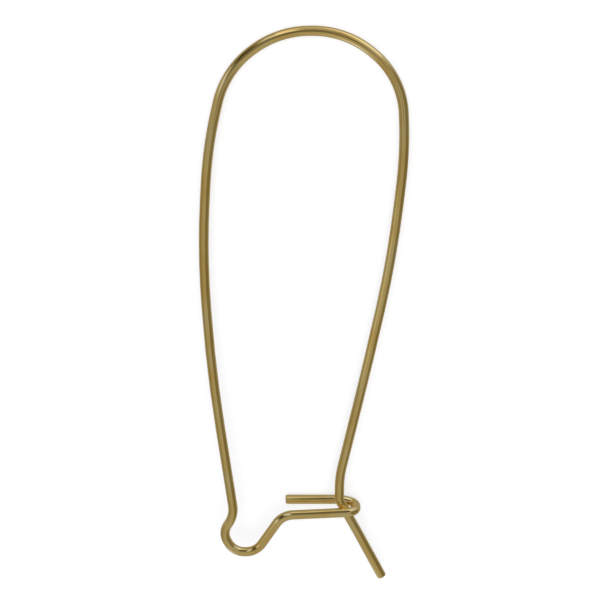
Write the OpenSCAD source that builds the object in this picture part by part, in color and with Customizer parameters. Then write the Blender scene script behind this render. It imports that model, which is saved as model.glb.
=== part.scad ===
// Kidney ear wire, shown latched: one round wire bent into a long kidney-shaped loop.
// From its free end the wire is the tail, the kink, the ear leg, the arch, the left leg,
// the drop loop that holds a charm, and the catch, a hook that closes over the ear leg.
//
// The wire is laid out in the plane of its loop: x runs across from the left leg, y runs up
// from the catch to the arch, and z is towards the front. It is then tipped a little, so that
// it lies on a level surface on the top of its arch and on the catch's back leg.
// The finished part has +Z up, +Y towards the arch and its origin at the middle of its base.

/* [Wire] */
// Diameter of the round wire
wire_d = 0.72; // [0.5:0.02:0.9]
// Chamfer round each cut end
end_chamfer = 0.12; // [0.05:0.01:0.2]

/* [Loop] */
// Width of the loop at its widest, between wire centres
loop_w = 14.6; // [12:0.1:20]
// Height of the loop from the catch to the top of the arch, between wire centres
loop_h = 36.9; // [28:0.1:60]

/* [Drop loop] */
// Distance from the left leg's outermost point to the neck of the drop loop
neck_in = 2; // [1:0.1:4]
// Distance across the drop loop, from its neck to the bend that leaves it
drop_w = 3.7; // [3:0.1:6]
// Depth of the drop loop below the catch, between wire centres
drop_h = 3.04; // [2.4:0.02:6]
// Bend radius at the neck
neck_r = 2.3; // [1:0.1:3]
// Bend radius where the wire leaves the drop loop
exit_r = 1.6; // [1:0.1:2.4]

/* [Catch] */
// Length of the catch's front leg, from the drop loop's exit to the tip of the catch
catch_len = 5.7; // [4.5:0.05:8]
// Rise of the front leg towards the tip, in degrees
catch_slope = 2.8; // [0:0.1:6]
// Distance of the back leg above the front leg at the tip, in the plane of the loop
tip_rise = 0.1; // [0:0.05:0.3]
// Distance of the back leg's straight run above the tip of the front leg, in the plane of the loop
catch_rise = 0.4; // [0.3:0.05:1]
// Distance across the back leg's slope, from the tip to its straight run
slope_len = 1.1; // [0.6:0.1:3]
// Length of the back leg, from the tip to its cut end
back_len = 5.45; // [3:0.05:7]
// Gap between the ear leg and each leg of the catch, where they cross
latch_gap = 0.06; // [0.05:0.01:0.3]
// Gap between the tail and the inside of the catch's tip
seat_gap = 0.11; // [0.06:0.01:0.4]

/* [Ear leg] */
// Height of the kink above the catch's back leg
kink_up = 0.28; // [0:0.02:1]
// Bend radius at the kink
kink_r = 0.9; // [0.6:0.1:2]
// Length of the upright foot of the ear leg, above the kink
foot_len = 1.9; // [1.5:0.1:4]
// Bend radius from the foot into the long ear leg
foot_r = 8; // [3:0.5:12]

/* [Tail] */
// Length of the tail, from the kink to its cut end
tail_len = 7.3; // [5:0.1:12]
// Length of the tail that leads from the kink past the catch, before its straight end
tail_lead = 3; // [2:0.1:4]
// Slant of the tail away from the ear leg, in degrees
tail_slant = 28.3; // [15:0.1:35]
// Slight bend back between the lead and the straight end, in degrees
tail_bend_angle = 1; // [0.5:0.1:5]
// Bend radius of that slight bend
tail_r = 20; // [5:1:40]

/* [Hidden] */

wire_r = wire_d / 2;
// Distance between the centres of two wires that cross
layer = wire_d + latch_gap;
// Largest bend radius: a corner that asks for it bends over all the wire beside it
widest_r = 300;
// Shortest straight that is left between two bends
joint_len = 0.1;
// A bend is drawn this much thinner than the straights, and runs this far into them
bend_inset = 0.003;
bend_lap = 0.02;
// Sides of the wire's section, and of a full turn of a bend
section_sides = 40;
turn_sides = 72;

// Corners of the loop, from the ear leg over the arch to the left leg.
// Columns: across, a share of loop_w; up, a share of loop_h; back, a share of layer.
across = 0;
up = 1;
back = 2;
loop_corners = [
    [0.842, 0.340, 0.7], // ear leg, lower
    [0.950, 0.554, 0.3], // ear leg, upper
    [1.005, 0.770, 0], // right side
    [0.983, 0.910, 0], // right shoulder
    [0.714, 1, 0], // arch, right of the top
    [0.375, 1, 0], // arch, left of the top
    [0.118, 0.923, 0], // left shoulder
    [0.027, 0.776, 0], // left side
    [-0.008, 0.561, 0], // left leg, upper
    [0.028, 0.317, 0] // left leg, lower
];

// Corners of the drop loop between its neck and its exit.
// Columns: across, a share of drop_w from the neck; down, a share of drop_h below the catch.
down = 1;
drop_corners = [
    [-0.26, 0.48], // outer side
    [-0.01, 1], // bottom, left
    [0.45, 1] // bottom, right
];

// Places that the catch and the tail share, in the plane of the loop
exit_x = neck_in + drop_w;
tip_x = exit_x + catch_len;
front_y = catch_len * tan(catch_slope);
back_y = front_y + catch_rise;
kink_y = back_y + kink_up;
kink_x = tip_x - (wire_d + seat_gap) / cos(tail_slant)
    - (kink_up + catch_rise - tip_rise / 2) * tan(tail_slant);
tail_x = kink_x + tail_lead * sin(tail_slant);
tail_y = kink_y - tail_lead * cos(tail_slant);
end_slant = tail_slant - tail_bend_angle;
end_x = tail_x + (tail_len - tail_lead) * sin(end_slant);
end_y = tail_y - (tail_len - tail_lead) * cos(end_slant);

// The whole wire as corners, from the tail's cut end to the back leg's cut end.
// Columns: at, the corner's place; radius, the bend radius that it asks for.
at = 0;
radius = 1;
path = concat(
    [
        [[end_x, end_y, -layer], 0],
        [[tail_x, tail_y, -layer], tail_r],
        [[kink_x, kink_y, -layer], kink_r],
        [[kink_x, kink_y + foot_len, -layer], foot_r]
    ],
    [for (c = loop_corners) [[c[across] * loop_w, c[up] * loop_h, -c[back] * layer], widest_r]],
    [[[neck_in, 0, 0], neck_r]],
    [for (c = drop_corners) [[neck_in + c[across] * drop_w, -c[down] * drop_h, 0], widest_r]],
    [
        [[exit_x, 0, 0], exit_r],
        [[tip_x, front_y, 0], widest_r],
        [[tip_x, front_y + tip_rise, -2 * layer], widest_r],
        [[tip_x - slope_len, back_y, -2 * layer], widest_r],
        [[tip_x - back_len, back_y, -2 * layer], 0]
    ]
);
last = len(path) - 1;

function unit(v) = v / norm(v);
// The stretch of the path that ends at corner i
function side(i) = path[i][at] - path[i - 1][at];
// How far the wire turns at corner i
function turn(i) = acos(unit(side(i)) * unit(side(i + 1)));
// Distance from corner i to each end of its bend
function room(i) = (min(norm(side(i)), norm(side(i + 1))) - joint_len) / 2;
function reach(i) = min(path[i][radius] * tan(turn(i) / 2), room(i));
function bend_r(i) = reach(i) / tan(turn(i) / 2);
function bend_start(i) = path[i][at] - reach(i) * unit(side(i));
function bend_end(i) = path[i][at] + reach(i) * unit(side(i + 1));

// Turns the z axis onto the line between two points
module along(from, to) {
    way = to - from;
    translate(from)
        rotate([0, acos(way[2] / norm(way)), atan2(way[1], way[0])])
            children();
}

module straight(from, to) {
    along(from, to)
        cylinder(h = norm(to - from), r = wire_r, $fn = section_sides);
}

// A straight whose far end is cut off square and chamfered
module cut_end(from, to) {
    length = norm(to - from);
    along(from, to)
        rotate_extrude($fn = section_sides)
            polygon([
                [0, 0],
                [wire_r, 0],
                [wire_r, length - end_chamfer],
                [wire_r - end_chamfer, length],
                [0, length]
            ]);
}

module bend(i) {
    ahead = unit(side(i));
    next = unit(side(i + 1));
    inward = unit(next - (next * ahead) * ahead);
    normal = cross(ahead, inward);
    r = bend_r(i);
    centre = bend_start(i) + r * inward;
    lap = bend_lap / r * 180 / PI;
    multmatrix([
        [-inward[0], ahead[0], normal[0], centre[0]],
        [-inward[1], ahead[1], normal[1], centre[1]],
        [-inward[2], ahead[2], normal[2], centre[2]],
        [0, 0, 0, 1]
    ])
        rotate([0, 0, -lap])
            rotate_extrude(angle = turn(i) + 2 * lap, $fn = turn_sides)
                translate([r, 0])
                    circle(r = wire_r - bend_inset, $fn = section_sides);
}

// The wire in the plane of its loop
module bent_wire() {
    cut_end(bend_start(1), path[0][at]);
    for (i = [1 : last - 1])
        bend(i);
    for (i = [2 : last - 1])
        straight(bend_end(i - 1), bend_start(i));
    cut_end(bend_end(last - 1), path[last][at]);
}

// The wire rests on the arch's top and on the back leg, which lies two layers lower
rest_tilt = atan(2 * layer / (loop_h - back_y));
lift = loop_h * sin(rest_tilt) + wire_r;
top_y = loop_h * cos(rest_tilt) + wire_r;
base_y = end_y * cos(rest_tilt) - layer * sin(rest_tilt) - wire_r * sin(end_slant);

module ear_wire() {
    color("#b8a05e")
        translate([-loop_w / 2, -(top_y + base_y) / 2, lift])
            rotate([-rest_tilt, 0, 0])
                bent_wire();
}

ear_wire();
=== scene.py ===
"""Kidney ear wire of gold-plated brass wire, latched and lying on a pale floor."""

import math

import bpy
import numpy as np
from mathutils import Matrix, Vector


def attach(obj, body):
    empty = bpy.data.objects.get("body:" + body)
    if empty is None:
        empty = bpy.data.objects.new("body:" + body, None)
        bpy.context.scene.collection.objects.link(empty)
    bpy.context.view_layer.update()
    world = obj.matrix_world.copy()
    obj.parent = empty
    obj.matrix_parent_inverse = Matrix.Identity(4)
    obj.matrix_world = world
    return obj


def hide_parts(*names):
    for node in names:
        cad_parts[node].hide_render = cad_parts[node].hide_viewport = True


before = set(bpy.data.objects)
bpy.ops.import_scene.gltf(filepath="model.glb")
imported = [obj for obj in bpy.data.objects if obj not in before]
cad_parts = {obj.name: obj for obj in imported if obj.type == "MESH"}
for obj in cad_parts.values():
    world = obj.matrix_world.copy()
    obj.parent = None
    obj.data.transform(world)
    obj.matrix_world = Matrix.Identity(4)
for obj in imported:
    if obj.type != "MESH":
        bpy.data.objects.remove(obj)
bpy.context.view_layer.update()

# Sizes of the ear wire, in metres and degrees. Lengths and bend radii follow the middle of the wire, and a
# gap is the clear space between two stretches of it.
MM = 0.001
wire_r = 0.36 * MM
loop_w = 14.6 * MM  # at its widest
loop_h = 36.9 * MM  # from the catch to the top of the arch
neck_in = 2 * MM  # from the left leg's outermost point to the neck
drop_w = 3.7 * MM  # from the neck to the bend that leaves the drop loop
drop_h = 3.04 * MM  # below the catch
neck_r = 2.3 * MM
exit_r = 1.6 * MM
catch_len = 5.7 * MM  # from the drop loop's exit to the catch's tip
catch_slope = 2.8  # rise of the front leg towards the tip
tip_rise = 0.1 * MM  # of the back leg above the front leg, at the tip
catch_rise = 0.4 * MM  # of the back leg's straight run above the front leg's tip
slope_len = 1.1 * MM  # from the tip to the back leg's straight run
back_len = 5.45 * MM  # from the tip to the back leg's cut end
latch_gap = 0.06 * MM  # between the ear leg and each leg of the catch
seat_gap = 0.11 * MM  # between the tail and the inside of the catch's tip
kink_up = 0.28 * MM  # above the catch's back leg
kink_r = 0.9 * MM
foot_len = 1.9 * MM  # of the ear leg's upright foot, above the kink
foot_r = 8 * MM
tail_len = 7.3 * MM  # from the kink to the tail's cut end
tail_lead = 3 * MM  # from the kink to the tail's slight bend
tail_slant = 28.3  # away from the ear leg
tail_bend_angle = 1
tail_r = 20 * MM

# Slant of the tail's straight end, past its slight bend
end_slant = tail_slant - tail_bend_angle
# Distance between the centres of two wires that cross
layer = 2 * wire_r + latch_gap
# A corner that asks for this radius bends over all the wire beside it
widest_r = 300 * MM
# Shortest straight that is left between two bends
joint_len = 0.1 * MM
# The cut ends are tumbled round by this much
end_round = 0.14 * MM

# Corners of the loop, from the ear leg over the arch to the left leg:
# across, a share of loop_w; up, a share of loop_h; back, a share of layer
loop_corners = [
    (0.842, 0.340, 0.7),  # ear leg, lower
    (0.950, 0.554, 0.3),  # ear leg, upper
    (1.005, 0.770, 0),  # right side
    (0.983, 0.910, 0),  # right shoulder
    (0.714, 1, 0),  # arch, right of the top
    (0.375, 1, 0),  # arch, left of the top
    (0.118, 0.923, 0),  # left shoulder
    (0.027, 0.776, 0),  # left side
    (-0.008, 0.561, 0),  # left leg, upper
    (0.028, 0.317, 0),  # left leg, lower
]
# Corners of the drop loop: across, a share of drop_w from the neck; down, a share of drop_h
drop_corners = [
    (-0.26, 0.48),  # outer side
    (-0.01, 1),  # bottom, left
    (0.45, 1),  # bottom, right
]

# Faces round the wire, and steps in the rounded edge of a cut end
SIDES = 64
ROUND_STEPS = 6
# The turn of one step round a bend, and the sharpest edge that is shaded smooth, in degrees
STEP = 1.5
SMOOTH_ANGLE = 40
# The attribute that holds each point's place in the straight wire
STRAIGHT = "straight_place"


# The wire's course

def tail_way(slant):
    """The way that a stretch of the tail runs down, at a slant in degrees."""
    return Vector((math.sin(math.radians(slant)), -math.cos(math.radians(slant)), 0))


def course():
    """The wire's corners, from the tail's cut end to the back leg's: (place, bend radius that it asks for).

    x runs across from the left leg, y runs up from the catch to the arch, and z is towards the front.
    """
    slant = math.radians(tail_slant)
    exit_x = neck_in + drop_w
    tip_x = exit_x + catch_len
    front_y = catch_len * math.tan(math.radians(catch_slope))
    back_y = front_y + catch_rise
    kink_height = kink_up + catch_rise - tip_rise / 2
    before_tip = (2 * wire_r + seat_gap) / math.cos(slant) + kink_height * math.tan(slant)
    kink = Vector((tip_x - before_tip, back_y + kink_up, -layer))
    tail = kink + tail_lead * tail_way(tail_slant)
    tail_end = tail + (tail_len - tail_lead) * tail_way(end_slant)
    foot = kink + Vector((0, foot_len, 0))
    corners = [(tail_end, 0), (tail, tail_r), (kink, kink_r), (foot, foot_r)]
    for across, up, back in loop_corners:
        corners.append((Vector((across * loop_w, up * loop_h, -back * layer)), widest_r))
    corners.append((Vector((neck_in, 0, 0)), neck_r))
    for across, down in drop_corners:
        corners.append((Vector((neck_in + across * drop_w, -down * drop_h, 0)), widest_r))
    corners += [
        (Vector((exit_x, 0, 0)), exit_r),
        (Vector((tip_x, front_y, 0)), widest_r),
        (Vector((tip_x, front_y + tip_rise, -2 * layer)), widest_r),
        (Vector((tip_x - slope_len, back_y, -2 * layer)), widest_r),
        (Vector((tip_x - back_len, back_y, -2 * layer)), 0),
    ]
    return corners


def rest():
    """Lays the plane of the loop down on the floor, on the arch's top and the catch's back leg."""
    corners = course()
    end_y = corners[0][0].y
    back_y = corners[-1][0].y
    tilt = math.atan(2 * layer / (loop_h - back_y))
    top = loop_h * math.cos(tilt) + wire_r
    base = end_y * math.cos(tilt) - layer * math.sin(tilt) - wire_r * math.sin(math.radians(end_slant))
    place = Vector((-loop_w / 2, -(top + base) / 2, loop_h * math.sin(tilt) + wire_r))
    return Matrix.Translation(place) @ Matrix.Rotation(-tilt, 4, "X")


def bend_at(before, corner, after):
    """The bend at a corner: where it starts and ends, its centre, the axis it turns about and its turn."""
    place, radius = corner
    arriving = place - before[0]
    leaving = after[0] - place
    room = (min(arriving.length, leaving.length) - joint_len) / 2
    ahead = arriving.normalized()
    away = leaving.normalized()
    turn = ahead.angle(away)
    reach = min(radius * math.tan(turn / 2), room)
    inward = (away - away.dot(ahead) * ahead).normalized()
    start = place - reach * ahead
    return {
        "start": start,
        "end": place + reach * away,
        "centre": start + reach / math.tan(turn / 2) * inward,
        "axis": ahead.cross(inward),
        "turn": turn,
    }


# The wire's mesh

def deselect_all():
    """Deselects the CAD nodes and whatever else is selected."""
    for thing in bpy.context.selected_objects:
        thing.select_set(False)


def draw_on(way):
    """Extrudes the wire's open end straight on."""
    bpy.ops.mesh.extrude_region_move(TRANSFORM_OT_translate={"value": way})


def resize_end(share, centre):
    """Widens or narrows the wire's open end."""
    bpy.ops.transform.resize(value=(share, share, share), center_override=centre)


def wind(bend):
    """Spins the wire's open end round a bend."""
    steps = max(2, math.ceil(math.degrees(bend["turn"]) / STEP))
    bpy.ops.mesh.spin(steps=steps, angle=-bend["turn"], center=bend["centre"], axis=bend["axis"])


def rounding():
    """The tumbled edge of a cut end, as (depth, radius) from the flat face to the wire's full thickness."""
    turns = [math.radians(90 * step / ROUND_STEPS) for step in range(ROUND_STEPS + 1)]
    return [(end_round * (1 - math.cos(a)), wire_r - end_round * (1 - math.sin(a))) for a in turns]


def round_off(place, ahead, profile):
    """Draws the open end on, past place, through a profile of (distance on, radius)."""
    for (on, radius), (next_on, next_radius) in zip(profile, profile[1:]):
        draw_on((next_on - on) * ahead)
        resize_end(next_radius / radius, place + next_on * ahead)


def bent_wire(corners):
    """Bends the whole wire from one round section and closes its cut ends."""
    deselect_all()
    profile = rounding()
    ahead = (corners[1][0] - corners[0][0]).normalized()
    bpy.ops.mesh.primitive_circle_add(
        vertices=SIDES,
        radius=profile[0][1],
        location=corners[0][0],
        rotation=ahead.to_track_quat("Z", "Y").to_euler(),
    )
    wire = bpy.context.object
    wire.name = wire.data.name = "ear_wire_bent"
    bpy.ops.object.transform_apply(location=True, rotation=True, scale=True)
    bpy.ops.object.mode_set(mode="EDIT")
    bpy.ops.mesh.select_all(action="SELECT")
    round_off(corners[0][0], ahead, profile)
    reached = corners[0][0] + end_round * ahead
    for before, corner, after in zip(corners, corners[1:], corners[2:]):
        bend = bend_at(before, corner, after)
        draw_on(bend["start"] - reached)
        wind(bend)
        reached = bend["end"]
    ahead = (corners[-1][0] - reached).normalized()
    draw_on(corners[-1][0] - end_round * ahead - reached)
    round_off(corners[-1][0], ahead, [(-depth, radius) for depth, radius in reversed(profile)])
    bpy.ops.mesh.select_all(action="SELECT")
    bpy.ops.mesh.fill_holes(sides=0)
    bpy.ops.mesh.select_all(action="SELECT")
    bpy.ops.mesh.normals_make_consistent(inside=False)
    bpy.ops.object.mode_set(mode="OBJECT")
    bpy.ops.object.shade_smooth_by_angle(angle=math.radians(SMOOTH_ANGLE))
    return wire


def keep_straight_places(wire):
    """Keeps each point's place in the straight wire, before it was bent, as an attribute.

    x runs along the wire; y and z cross it. The section's rings follow each other in the mesh.
    """
    rings = len(wire.data.vertices) // SIDES
    points = np.empty(rings * SIDES * 3)
    wire.data.vertices.foreach_get("co", points)
    points = points.reshape(rings, SIDES, 3)
    centres = points.mean(axis=1)
    steps = np.linalg.norm(np.diff(centres, axis=0), axis=1)
    radii = np.linalg.norm(points - centres[:, None], axis=2)
    turns = np.linspace(0, 2 * math.pi, SIDES, endpoint=False)
    straight = np.empty_like(points)
    straight[..., 0] = np.concatenate([[0], np.cumsum(steps)])[:, None]
    straight[..., 1] = radii * np.cos(turns)
    straight[..., 2] = radii * np.sin(turns)
    kept = wire.data.attributes.new(STRAIGHT, "FLOAT_VECTOR", "POINT")
    kept.data.foreach_set("vector", straight.ravel())


# Materials

# The plating's colour, from where it is thin to where it is thick: place on the ramp, colour
PLATING_TONES = [(0.34, "#e6c57b"), (0.5, "#ecd18c"), (0.66, "#ebd59b")]


def linear(hex_colour):
    """An sRGB hex colour as linear red, green, blue and alpha."""
    shares = [int(hex_colour[i : i + 2], 16) / 255 for i in (1, 3, 5)]
    return (*[s / 12.92 if s <= 0.04045 else ((s + 0.055) / 1.055) ** 2.4 for s in shares], 1)


def add(tree, kind, inputs=None, **settings):
    """Adds a node. Its inputs take a value, or another node's output to link."""
    node = tree.nodes.new("ShaderNode" + kind)
    for name, value in settings.items():
        setattr(node, name, value)
    for socket, value in (inputs or {}).items():
        if isinstance(value, bpy.types.NodeSocket):
            tree.links.new(value, node.inputs[socket])
        else:
            node.inputs[socket].default_value = value
    return node


def set_stops(ramp, stops):
    """Gives a colour ramp its stops: (place on the ramp, sRGB hex colour), from low to high."""
    while len(ramp.elements) < len(stops):
        ramp.elements.new(1)
    for element, (position, colour) in zip(ramp.elements, stops):
        element.position = position
        element.color = linear(colour)


def new_material(name, values):
    """A material whose Principled BSDF has the given values."""
    material = bpy.data.materials.new(name)
    material.use_nodes = True
    shader = material.node_tree.nodes["Principled BSDF"]
    for socket, value in values.items():
        shader.inputs[socket].default_value = value
    return material


def gold_plated_brass():
    """Gold-plated brass wire, drawn and tumbled, which gives a warm metal gloss.

    The fine lines that the drawing die leaves along the wire blur its reflections slightly.
    """
    material = new_material("gold_plated_brass_drawn_wire", {"Metallic": 1})
    tree = material.node_tree
    metal = tree.nodes["Principled BSDF"]
    place = add(tree, "Attribute", attribute_name=STRAIGHT).outputs["Vector"]

    # Toned patches, a few millimetres long, where the plating is thinner or thicker
    patch_len = 3.2 * MM
    patch_w = 1.1 * MM
    patches = add(tree, "Mapping", {"Vector": place, "Scale": (1 / patch_len, 1 / patch_w, 1 / patch_w)})
    noise = {"Vector": patches.outputs["Vector"], "Scale": 1, "Detail": 2, "Roughness": 0.5}
    tone = add(tree, "TexNoise", noise).outputs["Fac"]
    colours = add(tree, "ValToRGB", {"Fac": tone})
    set_stops(colours.color_ramp, PLATING_TONES)
    tree.links.new(colours.outputs["Color"], metal.inputs["Base Color"])

    # Drawing lines: really a few hundredths of a millimetre wide, drawn wider so that they show
    line_len = 6 * MM
    line_w = 0.07 * MM
    line_depth = 0.01 * MM
    lines = add(tree, "Mapping", {"Vector": place, "Scale": (1 / line_len, 1 / line_w, 1 / line_w)})
    noise = {"Vector": lines.outputs["Vector"], "Scale": 1, "Detail": 3, "Roughness": 0.6}
    grain = add(tree, "TexNoise", noise).outputs["Fac"]
    relief = add(tree, "Bump", {"Height": grain, "Strength": 0.35, "Distance": line_depth})
    tree.links.new(relief.outputs["Normal"], metal.inputs["Normal"])
    dull = add(tree, "MapRange", {"Value": grain, "To Min": 0.06, "To Max": 0.13})
    tree.links.new(dull.outputs["Result"], metal.inputs["Roughness"])
    return material


def lit_white_acrylic():
    """Matt white acrylic sheet lit from below, as on a light table, which leaves only a faint shadow."""
    values = {
        "Base Color": linear("#f2f4f6"),
        "Roughness": 0.9,
        "Specular IOR Level": 0.1,
        "Emission Color": linear("#f5f7ff"),
        "Emission Strength": 0.58,
    }
    return new_material("lit_white_acrylic", values)


def dark_card_painted_glow():
    """Matt black with a faint even glow. The glow is painted light, standing in for the little light that a
    dark card would give back.
    """
    values = {
        "Base Color": linear("#000000"),
        "Roughness": 1,
        "Specular IOR Level": 0,
        # Painted glow: the card is no lamp, and this emission stands in for light it gives back
        "Emission Color": linear("#fffcf0"),
        "Emission Strength": DARK_CARD_GLOW,
    }
    return new_material("dark_card_painted_glow", values)


# The studio

# The floor and the large square light above it, in metres and watts
FLOOR_SIZE = 4
OVERHEAD_SIZE = 2
OVERHEAD_PLACE = (0, 0.3, 1.5)
OVERHEAD_POWER = 8

# What the wire mirrors: a dim room with soft patches of more or less light. Azimuth 0 is towards +X and 90
# towards the arch, zenith 0 is overhead, and the brightness is added to the room's, in which 1 is white.
ROOM_LIGHT = 0.41
LIGHT_PATCHES = [
    # azimuth, zenith, radius and soft edge in degrees, brightness
    (58, 88, 22, 12, 0.54),  # long low panel beyond the arch
    (134, 51, 27, 4, 0.60),  # window at the upper left
    (137, 74, 14, 4, -1.00),  # its dark frame, lower part
    (137, 50, 9, 4, -1.00),  # its dark frame, middle
    (139, 32, 12, 4, -0.90),  # its dark frame, upper part
    (-115, 84, 9, 6, 1.0),  # lamp at the lower left
    (82, 45, 15, 6, -0.34),  # dark gap beyond the camera, upper part
    (82, 68, 14, 6, -0.30),  # dark gap beyond the camera, lower part
    (-8, 68, 36, 8, -0.20),  # dark wall on the right
    (-75, 60, 44, 10, 0.03),  # paler wall below
    (-162, 76, 22, 10, -0.12),  # darker wall on the left
]
# The room is nowhere darker than this
DARKEST = 0.08
# The tint of the room's light, warm where it is dim and cool where it is bright: brightness, colour
ROOM_TINTS = [(0.17, "#fff5cf"), (0.5, "#fffdf2"), (0.85, "#dfe7ff")]

# Lit sheets that only the metal sees
LIT_SHEETS = [
    # name, shape, size and place in millimetres, turns about x and y in degrees, brightness
    ("card", "RECTANGLE", (40, 30), (10, 40, 14), (-90, 0), 0.36),  # stands just beyond the arch
    ("reflector", "ELLIPSE", (9, 16), (-1.4, 1, 6.2), (0, -55), 0.18),  # held over the open loop
]

# A dark oval card above the arch that only the metal sees. It paints dark reflections along the wire, with
# a faint painted glow.
DARK_CARD_PLACE = (-1 * MM, 27 * MM, 62 * MM)
DARK_CARD_HALF_W = 12 * MM
DARK_CARD_HALF_H = 22 * MM
DARK_CARD_SIDES = 48
DARK_CARD_GLOW = 0.17

# The camera: the point that it looks at in the plane of the loop, its distance from there, and how far it
# leans towards the arch, from square to the loop, in degrees
VIEW_POINT = Vector((7.07 * MM, 17.35 * MM, 0))
VIEW_DISTANCE = 110 * MM
VIEW_LEAN = 15
# Its focal length and film width in millimetres
FOCAL_LENGTH = 89.1
FILM_WIDTH = 36
NEAREST_SEEN = 10 * MM


def direction(azimuth, zenith):
    """The way to a place in the room, seen from the object."""
    a = math.radians(azimuth)
    z = math.radians(zenith)
    return Vector((math.cos(a) * math.sin(z), math.sin(a) * math.sin(z), math.cos(z)))


def room():
    """The room that the metal mirrors. The camera itself sees only a white backdrop."""
    world = bpy.data.worlds.new("room")
    world.use_nodes = True
    tree = world.node_tree
    way = add(tree, "TexCoord").outputs["Generated"]
    light = ROOM_LIGHT
    for azimuth, zenith, radius, soft, brightness in LIGHT_PATCHES:
        towards = add(tree, "VectorMath", {0: way, 1: direction(azimuth, zenith)}, operation="DOT_PRODUCT")
        edge = {
            "Value": towards.outputs["Value"],
            "From Min": math.cos(math.radians(radius + soft)),
            "From Max": math.cos(math.radians(radius - soft)),
            "To Max": brightness,
        }
        patch = add(tree, "MapRange", edge, interpolation_type="SMOOTHSTEP")
        light = add(tree, "Math", {0: light, 1: patch.outputs["Result"]}, operation="ADD").outputs["Value"]
    light = add(tree, "Math", {0: light, 1: DARKEST}, operation="MAXIMUM").outputs["Value"]
    tint = add(tree, "ValToRGB", {"Fac": light})
    set_stops(tint.color_ramp, ROOM_TINTS)
    mirrored = tree.nodes["Background"]
    tree.links.new(tint.outputs["Color"], mirrored.inputs["Color"])
    tree.links.new(light, mirrored.inputs["Strength"])
    backdrop = add(tree, "Background", {"Color": linear("#ffffff")})
    seen = add(tree, "LightPath").outputs["Is Camera Ray"]
    either = {0: seen, 1: mirrored.outputs["Background"], 2: backdrop.outputs["Background"]}
    whole = add(tree, "MixShader", either)
    tree.links.new(whole.outputs["Shader"], tree.nodes["World Output"].inputs["Surface"])
    bpy.context.scene.world = world


def dark_reflection_card():
    """A dark oval card that only the metal sees, which paints dark reflections on the wire."""
    deselect_all()
    bpy.ops.mesh.primitive_circle_add(vertices=DARK_CARD_SIDES, radius=1, fill_type="NGON")
    lens = bpy.context.object
    lens.name = "dark_reflection_card"
    lens.location = DARK_CARD_PLACE
    lens.scale = (DARK_CARD_HALF_W, DARK_CARD_HALF_H, 1)
    lens.data.materials.append(dark_card_painted_glow())
    # Only the metal sees the card, as painted dark reflections; it lights and shades nothing else
    lens.visible_camera = lens.visible_diffuse = lens.visible_shadow = False


def area_light(name, shape, size, place, turns=(0, 0)):
    """An area light. Its size and place are in metres, and its turns about x and y in degrees."""
    data = bpy.data.lights.new(name, "AREA")
    data.shape = shape
    data.size, data.size_y = size
    light = bpy.data.objects.new(name, data)
    light.location = place
    light.rotation_euler = (math.radians(turns[0]), math.radians(turns[1]), 0)
    bpy.context.scene.collection.objects.link(light)
    return light


def lit_sheet(name, shape, size, place, turns, brightness):
    """A lit sheet that only the metal sees. Its size and place are in millimetres, and white is 1."""
    sheet = area_light(name, shape, [side * MM for side in size], Vector(place) * MM, turns)
    area = sheet.data.size * sheet.data.size_y
    if shape == "ELLIPSE":
        area *= math.pi / 4
    # A matt sheet sends out pi times its brightness from each square metre
    sheet.data.energy = math.pi * area * brightness
    sheet.visible_camera = sheet.visible_diffuse = False


def floor_sheet():
    """The pale floor."""
    deselect_all()
    bpy.ops.mesh.primitive_plane_add(size=FLOOR_SIZE)
    floor = bpy.context.object
    floor.name = "floor"
    floor.data.materials.append(lit_white_acrylic())
    # The wire mirrors the room and not the floor, which keeps its edges dark against the white
    floor.visible_glossy = False


def studio():
    """The pale floor under a large soft light, in the room."""
    floor_sheet()
    overhead = area_light("overhead", "SQUARE", (OVERHEAD_SIZE, OVERHEAD_SIZE), OVERHEAD_PLACE)
    overhead.data.energy = OVERHEAD_POWER
    overhead.visible_glossy = False
    for sheet in LIT_SHEETS:
        lit_sheet(*sheet)
    dark_reflection_card()
    room()
    bpy.context.scene.view_settings.view_transform = "Standard"


def camera():
    """The view down onto the loop, leaning a little towards the arch."""
    laid = rest()
    lean = math.radians(VIEW_LEAN)
    back = laid.to_3x3() @ Vector((0, math.sin(lean), math.cos(lean)))
    up = laid.to_3x3() @ Vector((0, math.cos(lean), -math.sin(lean)))
    place = laid @ VIEW_POINT + VIEW_DISTANCE * back
    data = bpy.data.cameras.new("camera")
    data.sensor_width = FILM_WIDTH
    data.lens = FOCAL_LENGTH
    data.clip_start = NEAREST_SEEN
    eye = bpy.data.objects.new("camera", data)
    bpy.context.scene.collection.objects.link(eye)
    axes = Matrix((up.cross(back), up, back)).transposed()
    eye.matrix_world = Matrix.Translation(place) @ axes.to_4x4()
    bpy.context.scene.camera = eye


laid = rest()
wire = bent_wire([(laid @ place, radius) for place, radius in course()])
keep_straight_places(wire)
wire.data.materials.append(gold_plated_brass())
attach(wire, "root")
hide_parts("ear_wire")
studio()
camera()
